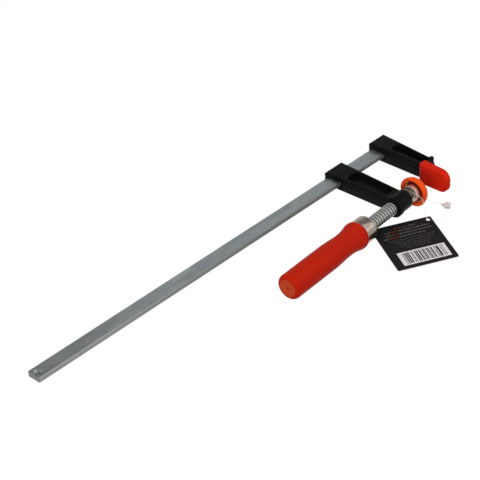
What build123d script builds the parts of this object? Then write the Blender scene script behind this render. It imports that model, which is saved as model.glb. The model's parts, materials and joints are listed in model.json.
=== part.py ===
"""Woodworking F-clamp: a notched rail, a fixed arm, a sliding arm and a screw with a swivel pad.

Units are millimetres. X runs along the rail, from the fixed arm towards the rail's free end.
Y runs from the rail towards the tips of the arms, and Z is up. The origin is on the face of
the fixed jaw, in line with the middle of the swivel pad.
"""

import os
from math import cos, hypot, radians, sin, sqrt, tan

from build123d import *

os.makedirs("parts", exist_ok=True)

# Capacity, and the opening between the jaws as the clamp lies here
throat = 60.0
rail_length = 446.4
jaw_gap = 21.5

# Rail
rail_width = 15.0
rail_thickness = 5.0
rail_bevel = 0.9
rail_end_round = 1.4
rail_peen = 0.6
notch_pitch = 2.3
notch_width = 1.3
notch_depth = 0.6
notch_slant = 28.0
stop_inset = 4.6
stop_hole_radius = 1.6
stop_crater_radius = 4.0
stop_crater_depth = 2.2
stop_burr_radius = 2.7
stop_burr_height = 0.8

# Arms, two iron castings with a parting line at mid height
arm_draft = 5.0
arm_edge_round = 1.5
arm_back_wall = 4.4
arm_back_round = 4.2
arm_corner_round = 3.8
web_thickness = 4.0
near_rib = 3.8
far_rib = 2.2
pocket_draft = 8.0
pocket_setback = 4.0
pocket_back_round = 5.0
pocket_front_round = 1.5
slot_relief = 1.5
slot_relief_height = 6.4
slot_relief_depth = 1.8

# Fixed arm
fixed_arm_width = 22.7
fixed_arm_height = 15.4
fixed_arm_setback = 3.5
fixed_arm_lean = 5.9
fixed_shoulder = 20.0
fixed_root = 3.0
lug_radius = 2.2
lug_overhang = 0.8
lug_station = 15.4
lug_rise = 0.6

# Jaw plate at the tip of the fixed arm, and its soft cap
jaw_height = 19.4
jaw_heel = 14.3
jaw_toe = 15.4
jaw_corner_round = 7.2
jaw_plate_heel_thickness = 6.4
jaw_plate_toe_thickness = 4.0
jaw_heel_round = 1.5
cap_wall = 1.3
cap_back_lip = 0.3
cap_edge_round = 2.4

# Sliding arm
sliding_arm_station = 34.9
sliding_arm_width = 24.7
sliding_arm_height = 13.4
sliding_arm_lean = 4.5
sliding_arm_near_lean = 1.4
slide_clearance = 0.3
tilt_slack = 1.2
boss_radius = 9.1
boss_length = 15.6
boss_round = 2.5
collar_radius = 10.0
collar_length = 4.8
collar_round = 1.1
pocket_to_boss = 2.0
nut_clearance = 0.08

# Screw, with a ball at its tip and a tang in the handle
screw_splay = 3.2
screw_radius = 6.2
screw_exposed = 36.0
ball_radius = 4.4
ball_to_boss = 10.4
neck_radius = 3.0
neck_length = 9.4
screw_lead_in = 1.4
tang_radius = 4.4
tang_length = 42.0
tang_point = 2.0

# Ferrule and turned wooden handle
ferrule_radius = 11.8
ferrule_length = 11.3
ferrule_wall = 1.4
ferrule_lip = 1.3
ferrule_round = 3.0
ferrule_lip_clearance = 0.1
handle_length = 102.0
handle_shoulder_radius = 11.6
handle_collar_radius = 13.0
handle_collar_station = 6.0
handle_waist_radius = 10.8
handle_waist_station = 23.0
handle_barrel_radius = 11.8
handle_barrel_station = 48.0
handle_end_round = 3.6
centre_mark_radius = 1.1
centre_mark_depth = 4.0
fit_gap = 0.03

# Swivel pad, its spring ring and its soft cap
pad_radius = 12.3
pad_floor = 0.95
pad_flange = 1.4
pad_rim_height = 1.9
pad_rim_width = 1.0
hub_root_radius = 8.6
hub_radius = 6.8
hub_length = 9.0
hub_edge_round = 0.8
socket_clearance = 0.1
ring_inset = 0.7
ring_width = 1.2
ring_bite = 0.35
ring_section = 1.1
ring_clearance = 0.06
ring_gap = 2.4
pad_cap_front = 1.5
pad_cap_radius = 14.2
pad_cap_nose_radius = 12.6
pad_cap_round = 2.0
pad_cap_length = 6.9

# Swing tag, its nylon loop and the snap lock that closes the loop
tag_side = 58.5
tag_thickness = 0.7
tag_corner_round = 1.5
tag_hole_radius = 1.9
tag_hole_inset = 3.8
tag_centre = (72.9, 37.8)
tag_turn = -26.0
tag_tilt = 1.6
tag_lift = 1.85
loop_diameter = 1.0
bend_share = 0.45
floor_gap = 0.12
lock_length = 8.6
lock_width = 6.6
lock_height = 3.0
lock_corner_round = 1.2
lock_nose_length = 3.2
lock_nose_radius = 1.5
lock_tip_radius = 0.9
lock_tip = (10.3, 18.6)
lock_turn = 116.0

# Places that follow from the sizes above
rail_y = -throat - rail_width / 2
rail_back_y = rail_y - rail_width / 2
rail_start_x = -fixed_arm_setback - fixed_arm_width - rail_peen
rail_end_x = rail_start_x + rail_length
stop_x = rail_end_x - stop_inset
arm_back_y = rail_back_y - arm_back_wall
trim_y = arm_back_y - arm_back_round
pocket_back_y = -throat + pocket_setback
disc_front_x = jaw_gap + pad_cap_front
bead_radius = (pad_cap_length - pad_cap_front - pad_rim_height) / 2
bead_x = jaw_gap + pad_cap_length - bead_radius
socket_radius = ball_radius + socket_clearance
ball_x = disc_front_x + pad_floor + socket_radius
ball_centre = Vector(ball_x, 0, 0)
screw_direction = Vector(cos(radians(screw_splay)), sin(radians(screw_splay)), 0)
screw_axis = Axis(ball_centre, screw_direction)
screw_plane = Plane(origin=ball_centre, x_dir=screw_direction, z_dir=(0, 0, 1))
pad_axis = Axis((0, 0, 0), (1, 0, 0))
collar_station = ball_to_boss + boss_length
boss_end_station = collar_station + collar_length
ferrule_station = boss_end_station + screw_exposed
tang_station = ferrule_station + ferrule_lip
handle_station = ferrule_station + ferrule_length


# The clamp lies on the burr of the rail's stop, the fixed arm's back and the pad's soft cap
rest_rail = Vector(stop_x, rail_y - stop_burr_radius, -rail_thickness / 2 - stop_burr_height)
rest_arm = Vector(
    -fixed_arm_setback - 2 * arm_edge_round,
    arm_back_y + arm_back_round,
    -fixed_arm_height / 2,
)
rest_pad = Vector(bead_x, 0, -pad_cap_radius)
rest_normal = (rest_pad - rest_rail).cross(rest_arm - rest_rail).normalized()


def on_floor(x, y, lift):
    """The point over the place x, y that is lift away from the surface under the clamp."""
    rise = rest_normal.X * (x - rest_rail.X) + rest_normal.Y * (y - rest_rail.Y)
    return Vector(x, y, rest_rail.Z + (lift - rise) / rest_normal.Z)


# Rail: a bevelled bar, notched across both narrow edges, with a stop punched at its free end
notch_lean = rail_thickness * tan(radians(notch_slant))
notch_count = int((rail_length + notch_lean) / notch_pitch) + 3
rail_half = rail_width / 2
near_edge = []
for index in range(-1, notch_count):
    near_edge.append((index * notch_pitch, rail_half))
    near_edge.append((index * notch_pitch + notch_width / 2, rail_half - notch_depth))
    near_edge.append((index * notch_pitch + notch_width, rail_half))
far_edge = [(x, -y) for x, y in reversed(near_edge)]

with BuildPart() as rail:
    with BuildSketch(Plane(origin=(rail_start_x, rail_y, -rail_thickness / 2))):
        with BuildLine():
            Polyline(*near_edge, *far_edge, close=True)
        make_face()
    slant_direction = (-sin(radians(notch_slant)), 0, cos(radians(notch_slant)))
    extrude(amount=hypot(rail_thickness, notch_lean), dir=slant_direction)
    with BuildSketch(Plane.YZ.offset(rail_start_x)):
        with Locations((rail_y, 0)):
            Rectangle(rail_width, rail_thickness)
        chamfer(vertices(), rail_bevel)
    extrude(amount=rail_length, mode=Mode.INTERSECT)
    with BuildSketch(Plane.XY.offset(-rail_thickness)):
        with Locations((rail_end_x, rail_y)):
            Rectangle(rail_length, rail_width, align=(Align.MAX, Align.CENTER))
        fillet(vertices().group_by(Axis.X)[-1], rail_end_round)
    extrude(amount=2 * rail_thickness, mode=Mode.INTERSECT)
    with BuildSketch(Plane.XZ.offset(-rail_y)):
        with BuildLine():
            Polyline(
                (stop_x, rail_thickness),
                (stop_x + stop_crater_radius, rail_thickness),
                (stop_x + stop_crater_radius, rail_thickness / 2),
                (stop_x + stop_hole_radius, rail_thickness / 2 - stop_crater_depth),
                (stop_x + stop_hole_radius, -rail_thickness),
                (stop_x, -rail_thickness),
                close=True,
            )
        make_face()
    revolve(axis=Axis((stop_x, rail_y, 0), (0, 0, 1)), mode=Mode.SUBTRACT)
    with BuildSketch(Plane.XY.offset(-rail_thickness / 2)):
        with Locations((stop_x, rail_y)):
            Circle(stop_burr_radius)
            Circle(stop_hole_radius, mode=Mode.SUBTRACT)
    extrude(amount=-stop_burr_height)
rail.part.label = "rail"
export_step(rail.part, "parts/rail.step")


def ribbed_casting(outline, hollow, height):
    """A flat arm: drafted from mid height, hollowed to a web on both faces, with a rounded back."""
    with BuildPart() as casting:
        with BuildSketch():
            add(outline)
        with BuildSketch(Plane.XY.offset(height / 2)):
            add(outline)
            offset(amount=-height / 2 * tan(radians(arm_draft)), kind=Kind.INTERSECTION)
        loft(ruled=True)
        fillet(casting.faces().sort_by(Axis.Z)[-1].edges(), arm_edge_round)
        with BuildSketch(Plane.XY.offset(height / 2)):
            add(hollow)
        extrude(amount=-(height - web_thickness) / 2, taper=pocket_draft, mode=Mode.SUBTRACT)
        mirror(about=Plane.XY)
        with BuildSketch(Plane.YZ.offset(-rail_length)):
            with Locations((arm_back_y, 0)):
                Rectangle(2 * throat, height, align=(Align.MIN, Align.CENTER))
            fillet(vertices().group_by(Axis.X)[0], arm_back_round)
        extrude(amount=2 * rail_length, mode=Mode.INTERSECT)
        with BuildSketch(Plane.XY.offset(-height)):
            add(outline)
            with Locations((0, arm_back_y)):
                Rectangle(2 * rail_length, 2 * throat, align=(Align.CENTER, Align.MIN), mode=Mode.INTERSECT)
            fillet(vertices().group_by(Axis.Y)[0], arm_corner_round)
        extrude(amount=2 * height, mode=Mode.INTERSECT)
    return casting.part


def slot_tool(front_x, width, clearance, slack):
    """What a casting loses to the rail: its slot, and a small relief at the throat side."""
    with BuildPart() as tool:
        with BuildSketch(Plane.YZ.offset(front_x)):
            with Locations((rail_back_y - clearance, 0)):
                Rectangle(
                    rail_width + clearance + slack,
                    rail_thickness + 2 * clearance,
                    align=(Align.MIN, Align.CENTER),
                )
        extrude(amount=-width)
        with BuildSketch(Plane.YZ.offset(front_x)):
            with Locations((-throat + slack, 0)):
                Rectangle(slot_relief, slot_relief_height, align=(Align.MIN, Align.CENTER))
        extrude(amount=-slot_relief_depth)
    return tool.part


def jaw_form(grow, depth):
    """The D shaped jaw, thinner at its toe, grown by grow all round and by depth at its back."""
    front_x = grow - cap_wall
    heel_y = -jaw_heel - grow
    toe_y = jaw_toe + grow
    with BuildPart() as form:
        with BuildSketch():
            with BuildLine():
                Polyline(
                    (front_x, heel_y),
                    (front_x, toe_y),
                    (-cap_wall - jaw_plate_toe_thickness - depth, toe_y),
                    (-cap_wall - jaw_plate_heel_thickness - depth, heel_y),
                    close=True,
                )
            make_face()
        extrude(amount=jaw_height / 2 + grow, both=True)
        with BuildSketch(Plane.YZ.offset(-throat)):
            with Locations((heel_y, 0)):
                Rectangle(toe_y - heel_y, jaw_height + 2 * grow, align=(Align.MIN, Align.CENTER))
            fillet(vertices().group_by(Axis.X)[0], jaw_heel_round)
            fillet(vertices().group_by(Axis.X)[-1], jaw_corner_round + grow)
        extrude(amount=2 * throat, mode=Mode.INTERSECT)
    return form.part


# Fixed arm: it grips the rail's end, and its far side sweeps forward to the jaw plate
fixed_near_x = -fixed_arm_setback
fixed_far_x = fixed_near_x - fixed_arm_width
fixed_inset = fixed_arm_height / 2 * tan(radians(arm_draft))
plate_back_x = -cap_wall - jaw_plate_heel_thickness

with BuildSketch() as fixed_outline:
    with BuildLine():
        far_side = Line((fixed_far_x, trim_y), (fixed_far_x + fixed_arm_lean, -fixed_shoulder))
        sweep_line = TangentArc(far_side @ 1, (plate_back_x, -fixed_root), tangent=far_side % 1)
        Polyline(
            sweep_line @ 1,
            (fixed_near_x, -fixed_root),
            (fixed_near_x, trim_y),
            far_side @ 0,
        )
    make_face()

with BuildSketch() as fixed_hollow:
    add(fixed_outline.sketch)
    offset(amount=-far_rib - fixed_inset, kind=Kind.INTERSECTION)
    with Locations((fixed_near_x - fixed_inset - near_rib, pocket_back_y)):
        Rectangle(
            fixed_arm_width,
            -pocket_back_y - jaw_heel - jaw_heel_round,
            align=(Align.MAX, Align.MIN),
            mode=Mode.INTERSECT,
        )
    fillet(vertices().group_by(Axis.Y)[0], pocket_back_round)
    fillet(vertices().group_by(Axis.Y)[-1], pocket_front_round)

with BuildPart() as fixed_arm:
    add(ribbed_casting(fixed_outline.sketch, fixed_hollow.sketch, fixed_arm_height))
    with BuildSketch():
        with Locations(((far_side @ 1).X + lug_radius - lug_overhang, -lug_station)):
            Circle(lug_radius)
    extrude(amount=fixed_arm_height / 2 + lug_rise, both=True)
    add(jaw_form(0, 0))
    add(slot_tool(fixed_near_x, fixed_arm_width + rail_peen, 0, 0), mode=Mode.SUBTRACT)
fixed_arm.part.label = "fixed_arm"
export_step(fixed_arm.part, "parts/fixed_arm.step")

# Soft cap pushed over the jaw plate, open at the back
with BuildPart() as jaw_cap:
    add(jaw_form(cap_wall, cap_back_lip))
    fillet(jaw_cap.faces().sort_by(Axis.X)[-1].edges(), cap_edge_round)
    add(jaw_form(0, 2 * cap_wall), mode=Mode.SUBTRACT)
    add(fixed_arm.part, mode=Mode.SUBTRACT)
jaw_cap.part.label = "jaw_cap"
export_step(jaw_cap.part, "parts/jaw_cap.step")

# Sliding arm: it rides on the rail with some slack and carries the threaded boss
sliding_far_x = sliding_arm_station
sliding_near_x = sliding_far_x + sliding_arm_width
sliding_inset = sliding_arm_height / 2 * tan(radians(arm_draft))
boss_y = (screw_direction * boss_end_station).Y

with BuildSketch() as sliding_outline:
    with BuildLine():
        Polyline(
            (sliding_far_x, trim_y),
            (sliding_near_x, trim_y),
            (sliding_near_x - sliding_arm_near_lean, boss_y),
            (sliding_far_x + sliding_arm_lean, boss_y),
            close=True,
        )
    make_face()

with BuildSketch() as sliding_hollow:
    add(sliding_outline.sketch)
    offset(amount=-far_rib - sliding_inset, kind=Kind.INTERSECTION)
    with Locations((sliding_near_x - sliding_inset - near_rib, pocket_back_y)):
        Rectangle(
            sliding_arm_width,
            boss_y - boss_radius - pocket_to_boss - pocket_back_y,
            align=(Align.MAX, Align.MIN),
            mode=Mode.INTERSECT,
        )
    fillet(vertices().group_by(Axis.Y)[0], pocket_back_round)
    fillet(vertices().group_by(Axis.Y)[-1], pocket_front_round)

with BuildPart() as sliding_arm:
    add(ribbed_casting(sliding_outline.sketch, sliding_hollow.sketch, sliding_arm_height))
    with BuildSketch(screw_plane):
        with BuildLine():
            Polyline(
                (ball_to_boss, 0),
                (ball_to_boss, boss_radius),
                (collar_station, boss_radius),
                (collar_station, collar_radius),
                (boss_end_station, collar_radius),
                (boss_end_station, 0),
                close=True,
            )
        make_face()
        fillet(vertices().sort_by_distance((ball_to_boss, boss_radius))[0], boss_round)
        fillet(vertices().sort_by_distance((boss_end_station, collar_radius))[0], collar_round)
    revolve(axis=screw_axis)
    with BuildSketch(screw_plane):
        with Locations((ball_to_boss, 0)):
            Rectangle(
                3 * (boss_length + collar_length),
                screw_radius + nut_clearance,
                align=(Align.CENTER, Align.MIN),
            )
    revolve(axis=screw_axis, mode=Mode.SUBTRACT)
    add(
        slot_tool(sliding_near_x, sliding_arm_width, slide_clearance, tilt_slack),
        mode=Mode.SUBTRACT,
    )
sliding_arm.part.label = "sliding_arm"
export_step(sliding_arm.part, "parts/sliding_arm.step")

# Screw: ball, neck, threaded length and the tang that the handle is driven onto
with BuildPart() as screw:
    with BuildSketch(screw_plane):
        with BuildLine():
            neck_start = sqrt(ball_radius**2 - neck_radius**2)
            ball = ThreePointArc((-ball_radius, 0), (0, ball_radius), (neck_start, neck_radius))
            Polyline(
                ball @ 1,
                (neck_length, neck_radius),
                (neck_length + screw_lead_in, screw_radius),
                (tang_station, screw_radius),
                (tang_station, tang_radius),
                (tang_station + tang_length - tang_point, tang_radius),
                (tang_station + tang_length, tang_radius - tang_point),
                (tang_station + tang_length, 0),
                ball @ 0,
            )
        make_face()
    revolve(axis=screw_axis)
screw.part.label = "screw"
export_step(screw.part, "parts/screw.step")

# Ferrule: a deep drawn cup round the front of the handle, with a hole for the screw
ferrule_bore = ferrule_radius - ferrule_wall
lip_bore = screw_radius + ferrule_lip_clearance
with BuildPart() as ferrule:
    with BuildSketch(screw_plane):
        with BuildLine():
            Polyline(
                (ferrule_station, lip_bore),
                (ferrule_station, ferrule_radius),
                (handle_station, ferrule_radius),
                (handle_station, ferrule_bore),
                (tang_station, ferrule_bore),
                (tang_station, lip_bore),
                close=True,
            )
        make_face()
        fillet(vertices().sort_by_distance((ferrule_station, ferrule_radius))[0], ferrule_round)
        inner_round = ferrule_round - ferrule_wall
        fillet(vertices().sort_by_distance((tang_station, ferrule_bore))[0], inner_round)
    revolve(axis=screw_axis)
ferrule.part.label = "ferrule"
export_step(ferrule.part, "parts/ferrule.step")

# Handle: turned wood with a collar, a waist and a long barrel, on a spigot inside the ferrule
handle_end_station = handle_station + handle_length
spigot_radius = ferrule_bore - fit_gap
spigot_station = tang_station + fit_gap
collar_crest = (handle_station + handle_collar_station, handle_collar_radius)
with BuildPart() as handle:
    with BuildSketch(screw_plane):
        with BuildLine():
            shoulder = Line(
                (handle_station, spigot_radius), (handle_station, handle_shoulder_radius)
            )
            swell = Spline(shoulder @ 1, collar_crest, tangents=((1, 1), (1, 0)))
            grip = Spline(
                collar_crest,
                (handle_station + handle_waist_station, handle_waist_radius),
                (handle_station + handle_barrel_station, handle_barrel_radius),
                tangents=((1, 0), (1, 0)),
            )
            Polyline(
                grip @ 1,
                (handle_end_station, handle_barrel_radius),
                (handle_end_station, 0),
                (spigot_station, 0),
                (spigot_station, spigot_radius),
                shoulder @ 0,
            )
        make_face()
        end_corner = (handle_end_station, handle_barrel_radius)
        fillet(vertices().sort_by_distance(end_corner)[0], handle_end_round)
        spigot_corner = (spigot_station, spigot_radius)
        chamfer(vertices().sort_by_distance(spigot_corner)[0], inner_round)
    revolve(axis=screw_axis)
    with BuildSketch(screw_plane):
        with Locations((handle_end_station, 0)):
            Rectangle(2 * centre_mark_depth, centre_mark_radius, align=(Align.CENTER, Align.MIN))
        with Locations((tang_station, 0)):
            Rectangle(tang_length + fit_gap, tang_radius + fit_gap, align=(Align.MIN, Align.MIN))
    revolve(axis=screw_axis, mode=Mode.SUBTRACT)
handle.part.label = "handle"
export_step(handle.part, "parts/handle.step")

# Swivel pad: a turned disc with a raised rim, and a hub with a ball socket bored from behind
hub_end_x = disc_front_x + hub_length
ring_front_x = hub_end_x - ring_inset - ring_width
ring_inner_radius = socket_radius - ring_bite
ring_outer_radius = ring_inner_radius + ring_section
with BuildPart() as swivel_pad:
    with BuildSketch():
        with BuildLine():
            Polyline(
                (disc_front_x, 0),
                (disc_front_x, pad_radius),
                (disc_front_x + pad_rim_height, pad_radius),
                (disc_front_x + pad_rim_height, pad_radius - pad_rim_width),
                (disc_front_x + pad_flange, pad_radius - 2 * pad_rim_width),
                (disc_front_x + pad_flange, hub_root_radius),
                (hub_end_x, hub_radius),
                (hub_end_x, 0),
                close=True,
            )
        make_face()
        fillet(vertices().sort_by_distance((hub_end_x, hub_radius))[0], hub_edge_round)
        with Locations((ball_x, 0)):
            Circle(socket_radius, mode=Mode.SUBTRACT)
            Rectangle(
                hub_length, socket_radius, align=(Align.MIN, Align.MIN), mode=Mode.SUBTRACT
            )
        with Locations((ring_front_x - ring_clearance, 0)):
            Rectangle(
                ring_width + 2 * ring_clearance,
                ring_outer_radius + ring_clearance,
                align=(Align.MIN, Align.MIN),
                mode=Mode.SUBTRACT,
            )
    revolve(axis=pad_axis)
swivel_pad.part.label = "swivel_pad"
export_step(swivel_pad.part, "parts/swivel_pad.step")

# Split spring ring that keeps the ball in its socket
with BuildPart() as snap_ring:
    with BuildSketch(Plane.YZ.offset(ring_front_x)):
        Circle(ring_outer_radius)
        Circle(ring_inner_radius, mode=Mode.SUBTRACT)
        Rectangle(
            ring_gap, 2 * ring_outer_radius, align=(Align.CENTER, Align.MAX), mode=Mode.SUBTRACT
        )
    extrude(amount=ring_width)
snap_ring.part.label = "snap_ring"
export_step(snap_ring.part, "parts/snap_ring.step")

# Soft cap on the pad, with a round bead that snaps over the pad's rim
with BuildPart() as pad_cap:
    with BuildSketch():
        with BuildLine():
            Polyline(
                (jaw_gap, 0),
                (jaw_gap, pad_cap_nose_radius),
                (bead_x, pad_cap_radius),
                (bead_x, 0),
                close=True,
            )
        make_face()
        fillet(vertices().sort_by_distance((jaw_gap, pad_cap_nose_radius))[0], pad_cap_round)
        with Locations((disc_front_x, 0)):
            Rectangle(
                pad_cap_length, pad_cap_radius - bead_radius, align=(Align.MIN, Align.MIN), mode=Mode.SUBTRACT
            )
        with Locations((bead_x, pad_cap_radius - bead_radius)):
            Circle(bead_radius)
        with Locations((disc_front_x, 0)):
            Rectangle(
                pad_rim_height,
                pad_radius + fit_gap,
                align=(Align.MIN, Align.MIN),
                mode=Mode.SUBTRACT,
            )
    revolve(axis=pad_axis)
pad_cap.part.label = "pad_cap"
export_step(pad_cap.part, "parts/pad_cap.step")

# Swing tag: a square card with a hole near one corner, which the loop holds off the floor
floor_plane = Plane(
    origin=on_floor(*tag_centre, tag_lift),
    x_dir=Vector(cos(radians(tag_turn)), sin(radians(tag_turn)), 0),
    z_dir=rest_normal,
)
tag_plane = floor_plane.rotated((-tag_tilt, tag_tilt, 0))
tag_hole = -tag_side / 2 + tag_hole_inset
with BuildPart() as swing_tag:
    with BuildSketch(tag_plane):
        RectangleRounded(tag_side, tag_side, tag_corner_round)
        with Locations((tag_hole, tag_hole)):
            Circle(tag_hole_radius, mode=Mode.SUBTRACT)
    extrude(amount=tag_thickness)
swing_tag.part.label = "swing_tag"
export_step(swing_tag.part, "parts/swing_tag.step")

# Snap lock: a flat moulded body with a tapered nose, lying on the floor
lock_direction = Vector(cos(radians(lock_turn)), sin(radians(lock_turn)), 0)
lock_flat = Plane(
    origin=on_floor(*lock_tip, floor_gap + lock_height / 2),
    x_dir=lock_direction,
    z_dir=rest_normal,
)
lock_nose = Plane(origin=lock_flat.origin, x_dir=lock_flat.y_dir, z_dir=lock_flat.x_dir)
lock_body_length = lock_length - lock_nose_length
with BuildPart() as tag_lock:
    with BuildSketch(lock_nose):
        Circle(lock_tip_radius)
    with BuildSketch(lock_nose.offset(lock_nose_length)):
        Circle(lock_nose_radius)
    loft(ruled=True)
    with BuildSketch(lock_flat.offset(-lock_height / 2)):
        with Locations((lock_nose_length, 0)):
            Rectangle(lock_body_length, lock_width, align=(Align.MIN, Align.CENTER))
        fillet(vertices(), lock_corner_round)
    extrude(amount=lock_height)
tag_lock.part.label = "tag_lock"
export_step(tag_lock.part, "parts/tag_lock.step")

# Nylon loop: from the lock's nose round the screw's neck, through the tag and back to the lock
strand_lift = floor_gap + loop_diameter / 2
lock_side = (lock_nose_length + lock_body_length / 2, -lock_width / 2)
lead = 2 * loop_diameter + lock_height / 2
neck_y = (neck_length / 2 * screw_direction).Y
route = [
    lock_flat.origin,
    lock_flat.from_local_coords((-lead, 0, 0)),
    on_floor(11.3, 10.9, strand_lift + 0.2),
    on_floor(12.9, 5.6, strand_lift),
    on_floor(15.4, 0.2, strand_lift),
    on_floor(18.4, -5.2, strand_lift),
    on_floor(22.4, -10.0, strand_lift),
    on_floor(27.5, -13.2, strand_lift + 1.0),
    Vector(32.6, -12.6, -8.2),
    Vector(34.4, -8.8, -3.4),
    Vector(33.5, neck_y - 3.64, 1.38),
    Vector(33.3, neck_y - 1.81, 3.34),
    Vector(33.3, neck_y + 0.83, 3.8),
    Vector(34.0, 5.6, 4.7),
    Vector(35.0, 11.4, 5.0),
    Vector(35.0, 15.8, 3.6),
    Vector(35.0, 18.4, -0.8),
    Vector(35.0, 18.6, -6.2),
    Vector(36.2, 19.7, -10.6),
    Vector(38.2, 22.4, -11.2),
    Vector(39.0, 26.0, -11.7),
    Vector(38.8, 26.5, -14.6),
    on_floor(34.4, 28.2, strand_lift + 0.15),
    on_floor(28.4, 30.6, strand_lift),
    on_floor(21.6, 31.6, strand_lift),
    lock_flat.from_local_coords((lock_side[0], lock_side[1] - lead, 0)),
    lock_flat.from_local_coords((lock_side[0], lock_side[1], 0)),
]
bends = []
for before, here, after in zip(route, route[1:], route[2:]):
    turn = (here - before).get_angle(after - here)
    run = min((here - before).length, (after - here).length)
    bends.append(bend_share * run / tan(radians(turn / 2)))

with BuildPart() as tag_loop:
    with BuildLine() as loop_path:
        FilletPolyline(*route, radius=bends)
    with BuildSketch(Plane(origin=route[0], z_dir=route[1] - route[0])):
        Circle(loop_diameter / 2)
    sweep()
tag_loop.part.label = "tag_loop"
export_step(tag_loop.part, "parts/tag_loop.step")

loop_length = sum(edge.length for edge in loop_path.edges())
loop_section = tag_loop.part.volume / loop_length
print("loop length", round(loop_length, 1), "section", round(loop_section, 4))
print("bend radii", [round(bend, 1) for bend in bends])
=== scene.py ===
"""Looks of the woodworking clamp: its finishes, the screw's thread, the swing tag and its loop.

Sizes are in millimetres and turned into metres where a mesh is made. Axes are the part's own:
X runs along the rail, Y from the rail to the tips of the arms, and Z is up.
"""

import json
from math import cos, pi, radians, sin, tan
from random import Random

import bmesh
import bpy
from mathutils import Matrix, Vector


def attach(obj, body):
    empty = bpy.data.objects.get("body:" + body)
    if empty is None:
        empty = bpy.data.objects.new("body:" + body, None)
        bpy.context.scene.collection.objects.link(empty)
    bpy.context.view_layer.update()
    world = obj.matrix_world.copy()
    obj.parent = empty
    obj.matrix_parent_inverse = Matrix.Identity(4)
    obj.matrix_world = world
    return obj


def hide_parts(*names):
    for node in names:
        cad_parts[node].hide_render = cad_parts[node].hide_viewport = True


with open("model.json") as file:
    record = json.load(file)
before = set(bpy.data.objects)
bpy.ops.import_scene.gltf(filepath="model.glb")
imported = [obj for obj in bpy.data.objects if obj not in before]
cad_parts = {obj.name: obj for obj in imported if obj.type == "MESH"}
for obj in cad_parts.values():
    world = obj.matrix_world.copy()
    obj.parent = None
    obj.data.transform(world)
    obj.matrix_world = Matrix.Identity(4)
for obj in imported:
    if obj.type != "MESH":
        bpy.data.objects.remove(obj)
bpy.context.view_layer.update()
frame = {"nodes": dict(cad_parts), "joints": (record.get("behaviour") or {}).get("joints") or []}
nodes = frame["nodes"]
joints = {joint["name"]: joint for joint in frame["joints"]}
MM = 0.001

# Screw with its ball, and the threaded boss, as in the part
ball_centre = Vector(joints["screw_turn"]["pos_m"]) / MM
screw_direction = Vector(joints["screw_turn"]["axis"])
screw_lean = 3.2
screw_radius = 6.2
thread_pitch = 3.4
thread_depth = 1.0
neck_radius = 3.0
neck_length = 9.4
screw_lead_in = 1.4
ball_radius = 4.4
boss_end_station = 30.8
ferrule_station = 66.8
ferrule_lip = 1.3
tang_radius = 4.3
tang_stub = 6.0
boss_bore_radius = screw_radius + 0.12

# Ferrule and handle, after the photo: the ferrule is longer here than the part's
ferrule_radius = 11.8
ferrule_hole_radius = screw_radius + 0.15
ferrule_length = 14.3
ferrule_round = 3.0
handle_length = 97.7
handle_station = ferrule_station + ferrule_length
handle_end_zone = 9.0
handle_segments = 120
spigot_station = handle_station - ferrule_length + 1.6
spigot_radius = ferrule_radius - 1.5
handle_outline = (
    (0.0, 11.5),
    (0.3, 12.1),
    (1.2, 12.65),
    (3.0, 12.97),
    (6.8, 12.6),
    (12.5, 11.35),
    (20.0, 10.8),
    (28.0, 11.05),
    (38.0, 11.65),
    (47.0, 11.8),
    (handle_length - handle_end_zone, 11.78),
)
handle_end_radius = 11.76
handle_end_round = 3.6
centre_mark_radius = 1.1
centre_mark_depth = 4.0

# Swivel pad and its soft cap; the hub is wider here than the part's, after the photo
jaw_gap = 21.5
pad_cap_front = 1.5
pad_radius = 12.25
pad_floor = 1.0
pad_flange = 1.4
pad_rim_height = 1.9
pad_rim_width = 1.0
hub_root_radius = 9.0
hub_radius = 7.6
hub_mouth_radius = 3.75
hub_length = 9.0
hub_edge_round = 0.8
hub_lip = 0.9
socket_radius = 4.5
pad_cap_radius = 14.2
pad_cap_nose_radius = 12.6
pad_cap_round = 2.0
pad_cap_length = 6.9
pad_cap_bore_radius = pad_radius + 0.05

# Swing tag, loop and lock
tag_turn = -26.0
loop_diameter = 1.0
floor_gap = 0.12
lock_length = 8.6
lock_width = 6.6
lock_height = 3.0
lock_nose_length = 3.2
lock_tip = (10.3, 18.6)
lock_turn = 116.0

# Contact points of the clamp with the floor: the rail's burr, the fixed arm's back, the pad's cap
rest_rail = Vector((415.0, -70.2, -3.3))
rest_arm = Vector((-6.5, -75.2, -7.7))
rest_pad = Vector((26.65, 0.0, -14.2))
rest_normal = (rest_pad - rest_rail).cross(rest_arm - rest_rail).normalized()


def on_floor(x, y, lift):
    """The point over the place x, y that is lift away from the floor, in millimetres."""
    rise = rest_normal.x * (x - rest_rail.x) + rest_normal.y * (y - rest_rail.y)
    return Vector((x, y, rest_rail.z + (lift - rise) / rest_normal.z))


# Materials


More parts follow.
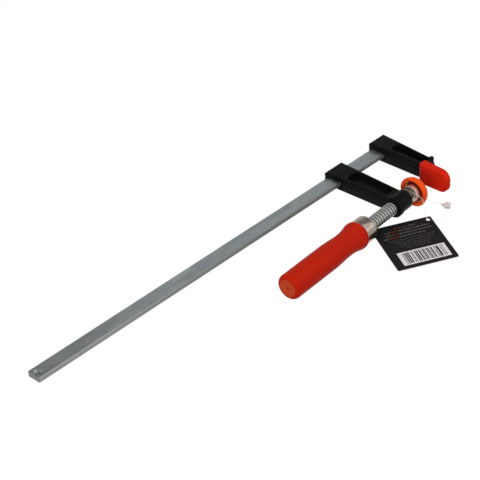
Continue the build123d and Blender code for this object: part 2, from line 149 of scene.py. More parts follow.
class Finish:
    """A material under construction, with short calls for the nodes that it needs."""

    def __init__(self, name, **values):
        self.material = bpy.data.materials.new(name)
        self.material.use_nodes = True
        self.tree = self.material.node_tree
        self.shader = self.tree.nodes["Principled BSDF"]
        self.coloured = None
        for socket, value in values.items():
            self.shader.inputs[socket.replace("_", " ")].default_value = value

    def node(self, kind, **values):
        made = self.tree.nodes.new(kind)
        for key, value in values.items():
            setattr(made, key, value)
        return made

    def link(self, output, socket):
        self.tree.links.new(output, socket)

    def place(self, stretch=(1, 1, 1), turn=(0, 0, 0)):
        """Coordinates fixed to the piece, in metres, stretched and turned."""
        source = self.node("ShaderNodeTexCoord")
        mapping = self.node("ShaderNodeMapping")
        mapping.inputs["Scale"].default_value = stretch
        mapping.inputs["Rotation"].default_value = turn
        self.link(source.outputs["Object"], mapping.inputs["Vector"])
        return mapping.outputs["Vector"]

    def noise(self, place, scale, detail=3.0, roughness=0.5):
        made = self.node("ShaderNodeTexNoise")
        made.inputs["Scale"].default_value = scale
        made.inputs["Detail"].default_value = detail
        made.inputs["Roughness"].default_value = roughness
        self.link(place, made.inputs["Vector"])
        return made.outputs["Fac"]

    def ramp(self, value, *stops):
        """A colour ramp over (position, colour) stops."""
        made = self.node("ShaderNodeValToRGB")
        elements = made.color_ramp.elements
        while len(elements) < len(stops):
            elements.new(0.5)
        for element, (position, colour) in zip(elements, stops):
            element.position = position
            element.color = (*colour, 1)
        self.link(value, made.inputs["Fac"])
        return made.outputs["Color"]

    def span(self, value, low, high, start=0.0, end=1.0):
        """The value's range start to end, mapped to low to high."""
        made = self.node("ShaderNodeMapRange")
        made.inputs["From Min"].default_value = start
        made.inputs["From Max"].default_value = end
        made.inputs["To Min"].default_value = low
        made.inputs["To Max"].default_value = high
        self.link(value, made.inputs["Value"])
        return made.outputs["Result"]

    def mix(self, share, first, second, blend="MIX"):
        made = self.node("ShaderNodeMix", data_type="RGBA", blend_type=blend)
        for socket, value in ((made.inputs["Factor"], share), (made.inputs[6], first),
                              (made.inputs[7], second)):
            if isinstance(value, bpy.types.NodeSocket):
                self.link(value, socket)
            elif isinstance(value, tuple):
                socket.default_value = (*value, 1)
            else:
                socket.default_value = value
        return made.outputs[2]

    def bump(self, height, strength, distance):
        """Relief of the given distance in millimetres."""
        made = self.node("ShaderNodeBump")
        made.inputs["Strength"].default_value = strength
        made.inputs["Distance"].default_value = distance * MM
        self.link(height, made.inputs["Height"])
        if self.shader.inputs["Normal"].is_linked:
            earlier = self.shader.inputs["Normal"].links[0].from_socket
            self.link(earlier, made.inputs["Normal"])
        self.link(made.outputs["Normal"], self.shader.inputs["Normal"])

    def facing(self, direction):
        """How far the surface faces along a direction of the part or against it, from 0 to 1."""
        geometry = self.node("ShaderNodeNewGeometry")
        along = self.node("ShaderNodeVectorMath", operation="DOT_PRODUCT")
        along.inputs[1].default_value = direction
        self.link(geometry.outputs["True Normal"], along.inputs[0])
        size = self.node("ShaderNodeMath", operation="ABSOLUTE")
        self.link(along.outputs["Value"], size.inputs[0])
        return size.outputs["Value"]

    def from_axis(self, origin, direction):
        """The distance in millimetres from an axis that is fixed to the piece."""
        source = self.node("ShaderNodeTexCoord")
        offset = self.node("ShaderNodeVectorMath", operation="SUBTRACT")
        offset.inputs[1].default_value = origin * MM
        self.link(source.outputs["Object"], offset.inputs[0])
        across = self.node("ShaderNodeVectorMath", operation="CROSS_PRODUCT")
        across.inputs[1].default_value = direction / MM
        self.link(offset.outputs["Vector"], across.inputs[0])
        size = self.node("ShaderNodeVectorMath", operation="LENGTH")
        self.link(across.outputs["Vector"], size.inputs[0])
        return size.outputs["Value"]

    def colour(self, output):
        """Links the base colour, and keeps it for a finish that is built on this one."""
        self.coloured = output
        self.link(output, self.shader.inputs["Base Color"])

    def roughness(self, output):
        self.link(output, self.shader.inputs["Roughness"])


def zinc(name, dark, light, tint, stretch, roughness):
    """Bright zinc plating: cloudy, with tinted patches and fine drawn lines."""
    finish = Finish(name, Metallic=1.0)
    place = finish.place(stretch)
    clouds = finish.noise(place, 190.0, 5.0, 0.62)
    patches = finish.noise(finish.place(), 42.0, 2.0)
    base = finish.ramp(clouds, (0.32, dark), (0.68, light))
    finish.colour(finish.mix(finish.span(patches, 0.0, 0.55, 0.42, 0.66), base, tint))
    finish.roughness(finish.span(clouds, roughness - 0.07, roughness + 0.08, 0.3, 0.7))
    finish.bump(finish.noise(place, 1500.0, 2.0), 0.2, 0.012)
    return finish


def rail_with_painted_shade(name):
    """Zinc on the rail, with painted shade: narrow side faces darkened, less towards the free
    end, and a top face that darkens towards the free end; and a brown cut end.

    The spans give where along the rail, in metres, each change begins and ends.
    """
    # Painted shade: the narrow side faces are darkened towards these greys, which lighten along
    # the rail towards the free end.
    side_shade_span, side_shade_near, side_shade_far = (0.17, 0.36), (0.13, 0.13, 0.12), (0.25, 0.25, 0.235)
    # Painted shade: the top face darkens towards this brownish grey towards the free end.
    top_shade_span, top_shade_share, top_shade_colour = (0.27, 0.42), 0.62, (0.16, 0.165, 0.145)
    cut_end = (0.15, 0.125, 0.10)
    finish = zinc(
        name, (0.32, 0.355, 0.355), (0.42, 0.45, 0.45), (0.33, 0.38, 0.42), (0.3, 1, 1), 0.36
    )
    split = finish.node("ShaderNodeSeparateXYZ")
    finish.link(finish.place(), split.inputs["Vector"])
    station = split.outputs["X"]
    # Painted shade on the narrow side faces, lighter towards the free end.
    side_shade_colour = finish.mix(finish.span(station, 0.0, 1.0, *side_shade_span), side_shade_near, side_shade_far)
    side_shade_mask = finish.span(finish.facing(Vector((0, 1, 0))), 0.0, 0.85, 0.3, 0.6)
    side_shaded = finish.mix(side_shade_mask, finish.coloured, side_shade_colour)
    # Painted shade on the top face, darker towards the free end.
    along = finish.span(station, 0.0, top_shade_share, *top_shade_span)
    top = finish.span(finish.facing(Vector((0, 0, 1))), 0.0, 1.0, 0.8, 0.95)
    top_shade_mask = finish.node("ShaderNodeMath", operation="MULTIPLY")
    finish.link(along, top_shade_mask.inputs[0])
    finish.link(top, top_shade_mask.inputs[1])
    top_shaded = finish.mix(top_shade_mask.outputs["Value"], side_shaded, top_shade_colour)
    cut = finish.span(finish.facing(Vector((1, 0, 0))), 0.0, 0.8, 0.8, 0.95)
    finish.colour(finish.mix(cut, top_shaded, cut_end))
    return finish.material


def thread_with_painted_shade(name):
    """Zinc on the screw, with painted shade darkening the roots of its thread."""
    root_shade_full, root_shade_none = screw_radius - thread_depth + 0.1, screw_radius - 0.35
    finish = zinc(
        name, (0.31, 0.32, 0.305), (0.43, 0.44, 0.42), (0.36, 0.36, 0.335), (1, 1, 1), 0.44
    )
    height = finish.from_axis(ball_centre, screw_direction)
    root_shade = finish.span(height, 1.0, 0.0, root_shade_full, root_shade_none)
    # Painted shade: the thread's roots are darkened towards near black.
    finish.colour(finish.mix(root_shade, finish.coloured, (0.055, 0.060, 0.064)))
    return finish.material


def enamel(name):
    """Black stoving enamel over a sand cast skin."""
    finish = Finish(name, Specular_IOR_Level=0.04)
    place = finish.place()
    skin = finish.noise(place, 620.0, 4.0, 0.6)
    swell = finish.noise(place, 120.0, 2.0)
    deep, bright = (0.0030, 0.0032, 0.0029), (0.0058, 0.0058, 0.0050)
    finish.colour(finish.ramp(swell, (0.3, deep), (0.75, bright)))
    finish.roughness(finish.span(skin, 0.26, 0.40, 0.3, 0.7))
    finish.bump(swell, 0.25, 0.2)
    finish.bump(skin, 0.2, 0.025)
    return finish.material


def soft_plastic(name, deep, bright, gloss):
    """Soft vinyl with slight flow marks and a satin skin."""
    finish = Finish(name, Specular_IOR_Level=gloss)
    place = finish.place()
    flow = finish.noise(place, 55.0, 3.0)
    finish.colour(finish.ramp(flow, (0.3, deep), (0.7, bright)))
    finish.roughness(finish.span(finish.noise(place, 240.0), 0.28, 0.40, 0.3, 0.7))
    finish.bump(flow, 0.2, 0.2)
    finish.bump(finish.noise(place, 2200.0), 0.1, 0.01)
    return finish.material


def turned_steel(name, dark, light, roughness):
    """Steel turned on a lathe, with fine rings round the part's X axis."""
    finish = Finish(name, Metallic=1.0)
    clouds = finish.noise(finish.place(), 260.0, 4.0)
    finish.colour(finish.ramp(clouds, (0.3, dark), (0.7, light)))
    finish.roughness(finish.span(clouds, roughness - 0.05, roughness + 0.08, 0.3, 0.7))
    finish.bump(finish.noise(finish.place((1, 0.02, 0.02)), 2600.0, 2.0), 0.2, 0.02)
    return finish


def pad_with_painted_reflections(name):
    """The pad's turned steel, with painted reflections in rings: a pale painted highlight on the
    hub, an orange-brown floor that stands in for the orange cap's reflection, and a cream painted
    highlight on the rim.
    """
    reflection_inner, reflection_outer = 6.0, 13.0
    finish = turned_steel(name, (0.50, 0.40, 0.37), (0.62, 0.52, 0.48), 0.34)
    radius = finish.from_axis(Vector((0, 0, 0)), Vector((1, 0, 0)))
    # Painted light: the rings stand in for the hub's highlight, the cap's orange reflection and
    # the rim's highlight.
    painted_reflections = finish.ramp(
        finish.span(radius, 0.0, 1.0, reflection_inner, reflection_outer),
        (0.12, (0.54, 0.42, 0.38)),
        (0.42, (0.52, 0.17, 0.07)),
        (0.66, (0.48, 0.18, 0.08)),
        (0.72, (0.84, 0.68, 0.46)),
    )
    finish.colour(finish.mix(0.85, finish.coloured, painted_reflections))
    return finish.material


def lacquered_wood(name):
    """Red lacquer over turned beech: the grain shows as faint long streaks and pores."""
    finish = Finish(name, Specular_IOR_Level=0.025)
    grain = finish.place((0.06, 1, 1), (0, 0, radians(-screw_lean)))
    streaks = finish.noise(grain, 300.0, 4.0, 0.6)
    flecks = finish.noise(finish.place((0.16, 1, 1)), 1500.0, 2.0)
    base = finish.ramp(streaks, (0.25, (0.38, 0.0115, 0.003)), (0.78, (0.43, 0.0145, 0.004)))
    pores = finish.span(flecks, 0.0, 0.22, 0.62, 0.75)
    finish.colour(finish.mix(pores, base, (0.30, 0.012, 0.005)))
    finish.roughness(finish.span(streaks, 0.36, 0.46, 0.3, 0.7))
    finish.bump(streaks, 0.2, 0.06)
    finish.bump(flecks, 0.15, 0.02)
    return finish.material


def end_grain(name):
    """The sawn end of the handle, where thin lacquer lets the wood's rings show."""
    finish = Finish(name, Specular_IOR_Level=0.06)
    place = finish.place((0.1, 1, 1))
    rings = finish.node("ShaderNodeTexWave", wave_type="RINGS", rings_direction="X")
    rings.inputs["Scale"].default_value = 190.0
    rings.inputs["Distortion"].default_value = 2.2
    finish.link(place, rings.inputs["Vector"])
    dark, light, bare = (0.40, 0.036, 0.010), (0.50, 0.056, 0.016), (0.52, 0.085, 0.028)
    base = finish.ramp(rings.outputs["Fac"], (0.2, dark), (0.8, light))
    blotches = finish.noise(place, 320.0, 4.0)
    finish.colour(finish.mix(finish.span(blotches, 0.0, 0.5, 0.5, 0.75), base, bare))
    finish.roughness(finish.span(blotches, 0.5, 0.7, 0.3, 0.7))
    finish.bump(blotches, 0.3, 0.12)
    return finish.material


def printed_card(name, ink, edge):
    """Coated card: ink on its two faces, bare board on its cut edges."""
    finish = Finish(name, Specular_IOR_Level=0.08)
    place = finish.place()
    fibres = finish.noise(place, 900.0, 4.0, 0.65)
    printed = finish.ramp(fibres, (0.3, tuple(0.8 * c for c in ink)), (0.7, ink))
    on_face = finish.span(finish.facing(rest_normal), 0.0, 1.0, 0.55, 0.75)
    finish.colour(finish.mix(on_face, edge, printed))
    finish.roughness(finish.span(fibres, 0.34, 0.5, 0.3, 0.7))
    finish.bump(fibres, 0.12, 0.03)
    return finish.material


def print_ink(name, colour):
    """A printed area, with the board's fibres just showing."""
    finish = Finish(name, Specular_IOR_Level=0.08)
    fibres = finish.noise(finish.place(), 900.0, 4.0, 0.65)
    finish.colour(finish.ramp(fibres, (0.3, tuple(0.9 * c for c in colour)), (0.7, colour)))
    finish.roughness(finish.span(fibres, 0.36, 0.5, 0.3, 0.7))
    return finish.material


def nylon(name, milky, cover):
    """Clear nylon, seen through where cover is below 1, with flow lines."""
    finish = Finish(name, Specular_IOR_Level=0.4, IOR=1.53, Alpha=cover)
    flow = finish.noise(finish.place(), 380.0, 3.0)
    finish.colour(finish.ramp(flow, (0.3, tuple(0.86 * c for c in milky)), (0.7, milky)))
    finish.roughness(finish.span(flow, 0.2, 0.34, 0.3, 0.7))
    finish.bump(flow, 0.2, 0.06)
    return finish.material


rail_zinc = rail_with_painted_shade("rail_zinc")
screw_zinc = thread_with_painted_shade("screw_zinc")
neck_zinc = zinc(
    "neck_zinc", (0.44, 0.39, 0.36), (0.56, 0.50, 0.46), (0.50, 0.42, 0.38), (1, 1, 1), 0.42
).material
arm_enamel = enamel("arm_enamel")
cap_red = soft_plastic("jaw_cap_red", (0.51, 0.0135, 0.0035), (0.60, 0.0175, 0.005), 0.03)
cap_orange = soft_plastic("pad_cap_orange", (0.76, 0.070, 0.006), (0.86, 0.092, 0.010), 0.03)
pad_steel = pad_with_painted_reflections("pad_steel")
ring_steel = turned_steel("ring_steel", (0.42, 0.36, 0.33), (0.52, 0.46, 0.42), 0.35).material
# The ferrule's warm brown tint is partly its yellowish plating and partly a painted reflection of
# the red handle.
ferrule_steel = turned_steel(
    "ferrule_steel", (0.29, 0.235, 0.20), (0.38, 0.315, 0.27), 0.14
).material
handle_red = lacquered_wood("handle_red")
handle_end = end_grain("handle_end")
card_black = printed_card("card_black", (0.0105, 0.0095, 0.0095), (0.16, 0.10, 0.07))
panel_white = print_ink("panel_white", (0.62, 0.58, 0.58))
bar_black = print_ink("bar_black", (0.008, 0.008, 0.008))
line_grey = print_ink("line_grey", (0.10, 0.095, 0.09))
line_faint = print_ink("line_faint", (0.062, 0.058, 0.056))
line_orange = print_ink("line_orange", (0.15, 0.028, 0.012))
loop_nylon = nylon("loop_nylon", (0.93, 0.92, 0.92), 0.18)
lock_nylon = nylon("lock_nylon", (0.66, 0.61, 0.60), 0.96)

# Meshes


def finish_piece(piece, material, body, replaced=None):
    """Gives a piece its material and body, and hides the node that it stands for, if any."""
    piece.data.materials.append(material)
    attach(piece, body)
    if replaced:
        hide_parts(replaced)


def mesh_piece(name, form, sharp=35.0):
    """An object from a bmesh in millimetres, shaded smooth but for edges sharper than sharp."""
    bmesh.ops.recalc_face_normals(form, faces=form.faces)
    bmesh.ops.scale(form, vec=(MM, MM, MM), verts=form.verts)
    mesh = bpy.data.meshes.new(name)
    form.to_mesh(mesh)
    form.free()
    mesh.shade_smooth()
    mesh.set_sharp_from_angle(angle=radians(sharp))
    piece = bpy.data.objects.new(name, mesh)
    bpy.context.scene.collection.objects.link(piece)
    return piece


def axis_matrix(origin, direction):
    """Places X along direction from origin, with Z kept as near up as it can be."""
    along = Vector(direction).normalized()
    side = Vector((0, 0, 1)).cross(along).normalized()
    up = along.cross(side)
    turn = Matrix((along, side, up)).transposed()
    return Matrix.Translation(Vector(origin)) @ turn.to_4x4()


def rounded(corners, steps=6):
    """Replaces each (x, r, round) corner of an outline by an arc of that radius."""
    points = [Vector(corner[:2]) for corner in corners]
    outline = []
    for index, (here, corner) in enumerate(zip(points, corners)):
        radius = corner[2] if len(corner) > 2 else 0
        if radius == 0:
            outline.append(here)
            continue
        before = (points[index - 1] - here).normalized()
        after = (points[(index + 1) % len(points)] - here).normalized()
        half = before.angle(after) / 2
        centre = here + (before + after).normalized() * radius / sin(half)
        first = here + before * radius / tan(half) - centre
        last = here + after * radius / tan(half) - centre
        swing = first.angle_signed(last)
        for step in range(steps + 1):
            outline.append(centre + first @ Matrix.Rotation(swing * step / steps, 2))
    return outline


def round_axis(place, station, radius, angle):
    """The point at a station, radius and angle round the X axis of place."""
    return place @ Vector((station, radius * cos(angle), radius * sin(angle)))


def turned(outline, place, segments=96, closed=True):
    """Turns an outline of (station, radius) points round the X axis of place."""
    form = bmesh.new()
    rings = []
    for station, radius in outline:
        if radius == 0:
            rings.append([form.verts.new(place @ Vector((station, 0, 0)))])
            continue
        ring = []
        for step in range(segments):
            angle = 2 * pi * step / segments
            ring.append(form.verts.new(round_axis(place, station, radius, angle)))
        rings.append(ring)
    pairs = list(zip(rings, rings[1:]))
    if closed:
        pairs.append((rings[-1], rings[0]))
    for first, second in pairs:
        if len(first) == 1 and len(second) == 1:
            continue
        for step in range(segments):
            following = (step + 1) % segments
            corners = [first[step % len(first)], first[following % len(first)],
                       second[following % len(second)], second[step % len(second)]]
            form.faces.new(list(dict.fromkeys(corners)))
    return form


def flat_outline(form, place, points, thickness):
    """Adds a plate with the given outline in the XY plane of place, from z 0 to thickness."""
    low = [form.verts.new(place @ Vector((x, y, 0))) for x, y in points]
    high = [form.verts.new(place @ Vector((x, y, thickness))) for x, y in points]
    form.faces.new(list(reversed(low)))
    form.faces.new(high)
    for index in range(len(points)):
        following = (index + 1) % len(points)
        form.faces.new((low[index], low[following], high[following], high[index]))


# Screw
screw_place = axis_matrix(ball_centre, screw_direction)
pad_place = axis_matrix((jaw_gap, 0, 0), (1, 0, 0))

# The thread's section over one pitch, as (share of the pitch, share of the depth)
thread_section = (
    (0.00, 1.00),
    (0.12, 1.00),
    (0.17, 0.90),
    (0.28, 0.16),
    (0.36, 0.02),
    (0.57, 0.00),
    (0.76, 0.02),
    (0.84, 0.16),
    (0.95, 0.90),
)


def threaded(place, start, end, radius, pitch, depth, segments=64):
    """A rod whose surface follows the thread's section, sheared by one pitch a turn."""
    form = bmesh.new()
    turns = int((end - start) / pitch) + 2
    rows = []
    for turn in range(turns):
        for share, sunk in thread_section:
            row = []
            for step in range(segments + 1):
                station = start + pitch * (turn + share - 1 + step / segments)
                angle = 2 * pi * step / segments
                inside = min(station - start, end - station)
                fade = min(1.0, max(0.0, inside / pitch))
                here = min(max(station, start), end)
                level = radius - depth * (1 - (1 - sunk) * fade)
                row.append(form.verts.new(round_axis(place, here, level, angle)))
            rows.append(row)
    for first, second in zip(rows, rows[1:]):
        for step in range(segments):
            form.faces.new((first[step], first[step + 1], second[step + 1], second[step]))
    bmesh.ops.remove_doubles(form, verts=form.verts, dist=0.002)
    return form


root_radius = screw_radius - thread_depth
thread_start = neck_length + screw_lead_in
thread_end = ferrule_station + ferrule_lip
neck_start = (ball_radius**2 - neck_radius**2) ** 0.5
ball_steps, ball_last_step = 24, 18
ball_outline = [
    (-ball_radius * cos(pi * step / ball_steps), ball_radius * sin(pi * step / ball_steps))
    for step in range(1, ball_last_step + 1)
]
core_outline = [(-ball_radius, 0)] + ball_outline + [
    (neck_start, neck_radius),
    (neck_length, neck_radius),
    (thread_start, root_radius),
    (thread_end, root_radius),
    (thread_end, tang_radius),
    (thread_end + tang_stub, tang_radius),
    (thread_end + tang_stub, 0),
]
screw_core = mesh_piece("screw_core", turned(core_outline, screw_place, 64, closed=False))
finish_piece(screw_core, neck_zinc, "screw", "screw")
screw_thread = mesh_piece(
    "screw_thread",
    threaded(
        screw_place, thread_start - screw_lead_in, thread_end,
        screw_radius, thread_pitch, thread_depth,
    ),
    sharp=50,
)
finish_piece(screw_thread, screw_zinc, "screw")

# Rings turned on the rear face of the boss
boss_rings = mesh_piece("boss_rings", turned(rounded((
    (boss_end_station - 0.4, boss_bore_radius),
    (boss_end_station + 0.5, boss_bore_radius),
    (boss_end_station + 0.5, screw_radius + 0.7, 0.15),
    (boss_end_station + 0.02, screw_radius + 0.9),
    (boss_end_station + 0.02, screw_radius + 1.3),
    (boss_end_station + 0.4, screw_radius + 1.5, 0.15),
    (boss_end_station + 0.4, screw_radius + 2.3, 0.15),
    (boss_end_station - 0.4, screw_radius + 2.5),
)), screw_place, 72), sharp=50)
finish_piece(boss_rings, arm_enamel, "sliding_arm")

# Ferrule
ferrule_end = handle_station - 0.1
ferrule_outline = rounded((
    (ferrule_station, ferrule_hole_radius),
    (ferrule_station, ferrule_radius, ferrule_round),
    (ferrule_end, ferrule_radius, 0.25),
    (ferrule_end, ferrule_radius - 1.2),
    (ferrule_station + ferrule_lip, ferrule_radius - 1.4),
    (ferrule_station + ferrule_lip, ferrule_hole_radius),
))
ferrule = mesh_piece("ferrule_cup", turned(ferrule_outline, screw_place))
finish_piece(ferrule, ferrule_steel, "screw", "ferrule")


# Handle
def smooth_line(points, steps=5):
    """A smooth curve through the points, as a Catmull-Rom spline."""
    line = []
    ends = [points[0], *points, points[-1]]
    for before, first, last, after in zip(ends, ends[1:], ends[2:], ends[3:]):
        for step in range(steps):
            t = step / steps
            line.append(tuple(
                0.5 * (
                    2 * b
                    + (c - a) * t
                    + (2 * a - 5 * b + 4 * c - d) * t**2
                    + (3 * b - a - 3 * c + d) * t**3
                )
                for a, b, c, d in zip(before, first, last, after)
            ))
    return line + [tuple(points[-1])]


barrel = [(handle_station + station, radius) for station, radius in smooth_line(handle_outline)]
handle_tip = handle_station + handle_length
end_outline = rounded((
    (handle_tip - handle_end_zone, handle_end_radius),
    (handle_tip, handle_end_radius, handle_end_round),
    (handle_tip, centre_mark_radius + 0.4),
))[1:-1]
shoulder = [
    (spigot_station, tang_radius + 0.1),
    (spigot_station, spigot_radius),
    (handle_station, spigot_radius),
]
grip_outline = shoulder + barrel + end_outline
handle = mesh_piece(
    "handle_grip", turned(grip_outline, screw_place, handle_segments, closed=False)
)
finish_piece(handle, handle_red, "screw", "handle")
end_face = mesh_piece("handle_end_face", turned((
    end_outline[-1],
    (handle_tip, centre_mark_radius + 0.3),
    (handle_tip - 0.4, centre_mark_radius),
    (handle_tip - centre_mark_depth, centre_mark_radius * 0.9),
    (handle_tip - centre_mark_depth, 0),
), screw_place, handle_segments, closed=False))
finish_piece(end_face, handle_end, "screw")

# Swivel pad
disc = pad_cap_front
pad_outline = rounded((
    (disc, 0),
    (disc, pad_radius),
    (disc + pad_rim_height, pad_radius, 0.3),
    (disc + pad_rim_height, pad_radius - pad_rim_width, 0.3),
    (disc + pad_flange, pad_radius - 2 * pad_rim_width, 0.4),
    (disc + pad_flange, hub_root_radius, 1.2),
    (disc + hub_length, hub_radius, hub_edge_round),
    (disc + hub_length, hub_mouth_radius, 0.3),
    (disc + hub_length - hub_lip, socket_radius),
    (disc + pad_floor, socket_radius * 0.9),
    (disc + pad_floor, 0),
))
pad = mesh_piece("pad_body", turned(pad_outline, pad_place, closed=False))
finish_piece(pad, pad_steel, "pad", "swivel_pad")

bead_radius = (pad_cap_length - pad_cap_front - pad_rim_height) / 2
bead_start = pad_cap_length - 2 * bead_radius
cap_outline = rounded((
    (0, 0),
    (0, pad_cap_nose_radius, pad_cap_round),
    (pad_cap_length - bead_radius, pad_cap_radius, 6.0),
    (pad_cap_length, pad_cap_radius - 0.1, bead_radius * 0.9),
    (pad_cap_length, pad_cap_radius - 2 * bead_radius, bead_radius * 0.9),
    (bead_start, pad_cap_radius - 2 * bead_radius, 0.5),
    (bead_start, pad_cap_bore_radius),
    (pad_cap_front, pad_cap_bore_radius),
    (pad_cap_front, 0),
), 8)
pad_cap = mesh_piece("pad_cover", turned(cap_outline, pad_place, closed=False))
finish_piece(pad_cap, cap_orange, "pad", "pad_cap")

# Swing tag
card = nodes["swing_tag"].data
card_faces = [face for face in card.polygons if face.normal.dot(rest_normal) > 0.9]
card_up = max(card_faces, key=lambda face: face.area).normal.copy()
card_turn = Vector((cos(radians(tag_turn)), sin(radians(tag_turn)), 0))
card_x = (card_turn - card_up * card_turn.dot(card_up)).normalized()
card_axes = Matrix((card_x, card_up.cross(card_x), card_up))
card_points = [card_axes @ vertex.co for vertex in card.vertices]
card_low, card_high = ([pick(axis) for axis in zip(*card_points)] for pick in (min, max))
card_middle = Vector((
    (card_low[0] + card_high[0]) / 2,
    (card_low[1] + card_high[1]) / 2,
    card_high[2],
))
card_turned = card_axes.transposed()
tag_place = Matrix.Translation(card_turned @ card_middle / MM) @ card_turned.to_4x4()
nodes["swing_tag"].data.materials.clear()
nodes["swing_tag"].data.materials.append(card_black)

# The print lies this far above the card, in layers of ink
print_top = 0.02
ink_thickness = 0.015


def printed(name, areas, material, level):
    """Flat printed areas (x, y, width, height) on the tag's upper face, joined as one piece."""
    form = bmesh.new()
    place = tag_place @ Matrix.Translation((0, 0, print_top + level * ink_thickness))
    for x, y, width, height in areas:
        area = ((x, y), (x + width, y), (x + width, y + height), (x, y + height))
        flat_outline(form, place, area, ink_thickness)
    finish_piece(mesh_piece(name, form), material, "tag")


# Label panel, its bars, and rows of plain dashes where a tag has its small print
panel_left, panel_right, panel_low, panel_high = -24.4, 21.3, 8.0, 25.3
panel_area = (panel_left, panel_low, panel_right - panel_left, panel_high - panel_low)
printed("tag_panel", [panel_area], panel_white, 0)

chance = Random(4)
bars_left, bars_right = panel_left + 3.4, panel_right - 4.5
bars_low, bars_height = 9.6, 14.2
bar_widths, bar_gaps = (0.6, 0.6, 1.2, 1.8), (0.6, 0.6, 1.1, 1.6)
bars = []
bar_x = bars_left
while bar_x < bars_right:
    bar_width = chance.choice(bar_widths)
    bars.append((bar_x, bars_low, bar_width, bars_height))
    bar_x += bar_width + chance.choice(bar_gaps)
printed("tag_bars", bars, bar_black, 1)


# Dashes: shortest length, the gap between two, and how far from the right some are coloured
shortest_dash, dash_gap, marked_reach = 1.6, 0.9, 14.0


def dashes(rows, height, longest, share):
    """Rows (y, from x, to x) of dashes: the plain ones, and a share of those on the right."""
    plain, marked = [], []
    for y, start, end in rows:
        x = end
        while x > start + 1.0:
            length = min(chance.uniform(shortest_dash, longest), x - start)
            chosen = marked if chance.random() < share and x > end - marked_reach else plain
            chosen.append((x - length, y - height / 2, length, height))
            x -= length + dash_gap
    return plain, marked


large_rows = (
    (-23.6, -12.0, 9.2),
    (-19.8, -23.2, 19.8),
    (-16.0, -24.6, 20.9),
    (-12.0, -16.1, 24.0),
)
small_rows = (
    (-8.0, -23.7, 20.9),
    (-4.9, -20.5, 17.3),
    (-2.0, -16.2, 13.6),
    (0.7, -14.8, 13.7),
    (3.5, -14.2, 8.8),
)
grey, orange = dashes(large_rows, 1.1, 5.0, 0.5)
printed("tag_lines", grey, line_grey, 0)
printed("tag_accents", orange, line_orange, 0)
printed("tag_small_lines", dashes(small_rows, 0.8, 4.2, 0.0)[0], line_faint, 0)

# Nylon loop and its lock, on the same route as in the part
strand_lift = floor_gap + loop_diameter / 2
lock_direction = Vector((cos(radians(lock_turn)), sin(radians(lock_turn)), 0))
lock_side_direction = rest_normal.cross(lock_direction).normalized()
lock_origin = on_floor(*lock_tip, floor_gap + lock_height / 2)
lock_along = (lock_direction - rest_normal * lock_direction.dot(rest_normal)).normalized()
lead = 2 * loop_diameter + lock_height / 2
neck_y = neck_length / 2 * screw_direction.y


def by_lock(along, aside):
    """A point in the lock's middle plane, from the tip of its nose."""
    return lock_origin + lock_along * along + lock_side_direction * aside


lock_middle = lock_nose_length + (lock_length - lock_nose_length) / 2
route = [
    by_lock(0, 0),
    by_lock(-lead, 0),
    on_floor(11.3, 10.9, strand_lift + 0.2),
    on_floor(12.9, 5.6, strand_lift),
    on_floor(15.4, 0.2, strand_lift),
    on_floor(18.4, -5.2, strand_lift),
    on_floor(22.4, -10.0, strand_lift),
    on_floor(27.5, -13.2, strand_lift + 1.0),
    Vector((32.6, -12.6, -8.2)),
    Vector((34.4, -8.8, -3.4)),
    Vector((33.5, neck_y - 3.64, 1.38)),
    Vector((33.3, neck_y - 1.81, 3.34)),
    Vector((33.3, neck_y + 0.83, 3.8)),
    Vector((34.0, 5.6, 4.7)),
    Vector((35.0, 11.4, 5.0)),
    Vector((35.0, 15.8, 3.6)),
    Vector((35.0, 18.4, -0.8)),
    Vector((35.0, 18.6, -6.2)),
    Vector((36.2, 19.7, -10.6)),
    Vector((38.2, 22.4, -11.2)),
    Vector((39.0, 26.0, -11.7)),
    Vector((38.8, 26.5, -14.6)),
    on_floor(34.4, 28.2, strand_lift + 0.15),
    on_floor(28.4, 30.6, strand_lift),
    on_floor(21.6, 31.6, strand_lift),
    by_lock(lock_middle, -lock_width / 2 - lead),
    by_lock(lock_middle, -lock_width / 2),
]
curve = bpy.data.curves.new("loop_strand", "CURVE")
curve.dimensions = "3D"
spline = curve.splines.new("NURBS")
spline.points.add(len(route) - 1)
for point, place in zip(spline.points, route):
    point.co = (*(place * MM), 1)
spline.order_u = 3
spline.use_endpoint_u = True
spline.resolution_u = 8
curve.bevel_depth = loop_diameter / 2 * MM
curve.bevel_resolution = 4
curve.use_fill_caps = True
loop = bpy.data.objects.new("loop_strand", curve)
bpy.context.scene.collection.objects.link(loop)
finish_piece(loop, loop_nylon, "tag", "tag_loop")

# Finishes of the nodes that keep their own shape
for name, material in (
    ("rail", rail_zinc),
    ("fixed_arm", arm_enamel),
    ("sliding_arm", arm_enamel),
    ("jaw_cap", cap_red),
    ("snap_ring", ring_steel),
    ("tag_lock", lock_nylon),
):
    nodes[name].data.materials.clear()
    nodes[name].data.materials.append(material)

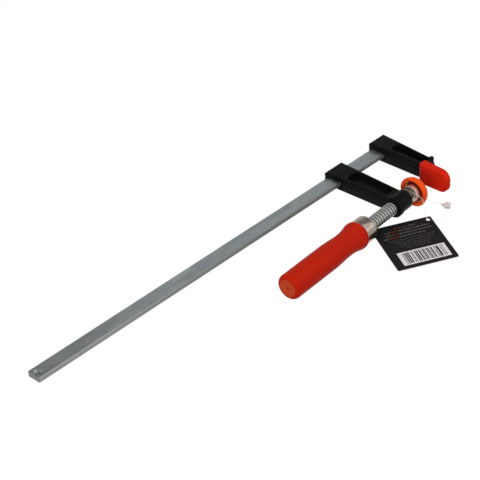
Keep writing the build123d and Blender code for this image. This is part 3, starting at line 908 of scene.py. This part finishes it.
# Floor: grey for diffuse light, and mostly a white glow for rays that show it
floor_grey = 0.38
glow_strength = 1.10
glow_share = 0.88
backdrop = Finish(
    "backdrop",
    Base_Color=(floor_grey, floor_grey, floor_grey, 1),
    Roughness=0.9,
    Specular_IOR_Level=0.0,
)
backdrop_rays = backdrop.node("ShaderNodeLightPath")
glow = backdrop.node("ShaderNodeEmission")
glow.inputs["Strength"].default_value = glow_strength
share = backdrop.node("ShaderNodeMath", operation="MULTIPLY")
share.inputs[1].default_value = glow_share
blend = backdrop.node("ShaderNodeMixShader")
output = backdrop.tree.nodes["Material Output"]
seen = backdrop.node("ShaderNodeMath", operation="MAXIMUM")
shown = backdrop.node("ShaderNodeMath", operation="MAXIMUM")
backdrop.link(backdrop_rays.outputs["Is Camera Ray"], seen.inputs[0])
backdrop.link(backdrop_rays.outputs["Is Transmission Ray"], seen.inputs[1])
backdrop.link(seen.outputs["Value"], shown.inputs[0])
backdrop.link(backdrop_rays.outputs["Is Glossy Ray"], shown.inputs[1])
backdrop.link(shown.outputs["Value"], share.inputs[0])
backdrop.link(share.outputs["Value"], blend.inputs["Fac"])
backdrop.link(backdrop.shader.outputs["BSDF"], blend.inputs[1])
backdrop.link(glow.outputs["Emission"], blend.inputs[2])
backdrop.link(blend.outputs["Shader"], output.inputs["Surface"])

floor_half = 3000.0
floor_form = bmesh.new()
floor_turn = rest_normal.to_track_quat("Z", "Y").to_matrix().to_4x4()
floor_place = Matrix.Translation(on_floor(150, 0, -0.02)) @ floor_turn
floor_form.faces.new([
    floor_form.verts.new(floor_place @ Vector((x * floor_half, y * floor_half, 0)))
    for x, y in ((-1, -1), (1, -1), (1, 1), (-1, 1))
])
floor = mesh_piece("floor", floor_form)
floor.data.materials.append(backdrop.material)

# World: an even level for diffuse light, a ceiling for gloss, and white where it is seen
room_level = 0.54
world = bpy.data.worlds.new("studio")
world.use_nodes = True
bpy.context.scene.world = world
tree = world.node_tree
surround = tree.nodes["Background"]
surround.inputs["Color"].default_value = (1, 1, 1, 1)


def sky_node(kind, *inputs, **values):
    """A node of the world with its inputs set or linked in order."""
    made = tree.nodes.new(kind)
    for key, value in values.items():
        setattr(made, key, value)
    for socket, value in zip(made.inputs, inputs):
        if isinstance(value, bpy.types.NodeSocket):
            tree.links.new(value, socket)
        elif value is not None:
            socket.default_value = value
    return made


# The studio's ceiling as gloss shows it, as (sine of the height above the horizon, level)
ceiling_levels = ((0.15, 1.0), (0.45, 0.66), (0.56, 0.52), (0.66, 0.30), (1.0, 0.6))
rays = sky_node("ShaderNodeLightPath").outputs
heights = sky_node("ShaderNodeSeparateXYZ", sky_node("ShaderNodeTexCoord").outputs["Generated"])
ceiling = sky_node("ShaderNodeValToRGB", heights.outputs["Z"])
shades = ceiling.color_ramp.elements
while len(shades) < len(ceiling_levels):
    shades.new(0.5)
for shade, (height, level) in zip(shades, ceiling_levels):
    shade.position = height
    shade.color = (level, level, level, 1)
lit = sky_node(
    "ShaderNodeMapRange", rays["Is Glossy Ray"], 0.0, 1.0, room_level, ceiling.outputs["Color"]
)
open_view = sky_node(
    "ShaderNodeMath", rays["Is Camera Ray"], rays["Is Transmission Ray"], operation="MAXIMUM"
)
strength = sky_node(
    "ShaderNodeMapRange", open_view.outputs["Value"], 0.0, 1.0, lit.outputs["Result"], 1.0
)
tree.links.new(strength.outputs["Result"], surround.inputs["Strength"])


def softbox(name, place, aim, size, power, gloss=True):
    """A square area lamp aimed at a point, in metres and watts, seen in gloss or not."""
    lamp = bpy.data.lights.new(name, "AREA")
    lamp.size = size
    lamp.energy = power
    holder = bpy.data.objects.new(name, lamp)
    holder.location = place
    holder.visible_glossy = gloss
    holder.rotation_euler = (Vector(aim) - Vector(place)).to_track_quat("-Z", "Y").to_euler()
    bpy.context.scene.collection.objects.link(holder)


subject = (0.12, -0.02, 0.0)
softbox("key", (-0.5, 1.1, 1.3), subject, 2.2, 15.0)
softbox("top", (0.3, -0.4, 1.6), subject, 1.2, 6.0)
softbox("side", (1.3, 0.55, 0.45), (0.0, 0.0, 0.0), 0.5, 8.5, False)

# Camera, as it was fitted to the photo
camera_place = (1.0010, 0.7795, 0.8116)
camera_data = bpy.data.cameras.new("camera")
camera_data.sensor_width = 36.0
camera_data.lens = 123.17
camera_data.clip_start = 0.05
camera_data.clip_end = 20.0
camera = bpy.data.objects.new("camera", camera_data)
right = Vector((-0.6876, 0.7234, -0.0622)).normalized()
forward = Vector((-0.5727, -0.5929, -0.5661)).normalized()
up = right.cross(forward).normalized()
right = forward.cross(up).normalized()
camera_turn = Matrix((right, up, -forward)).transposed()
camera.matrix_world = Matrix.Translation(camera_place) @ camera_turn.to_4x4()
bpy.context.scene.collection.objects.link(camera)
bpy.context.scene.camera = camera
bpy.context.scene.view_settings.view_transform = "Standard"
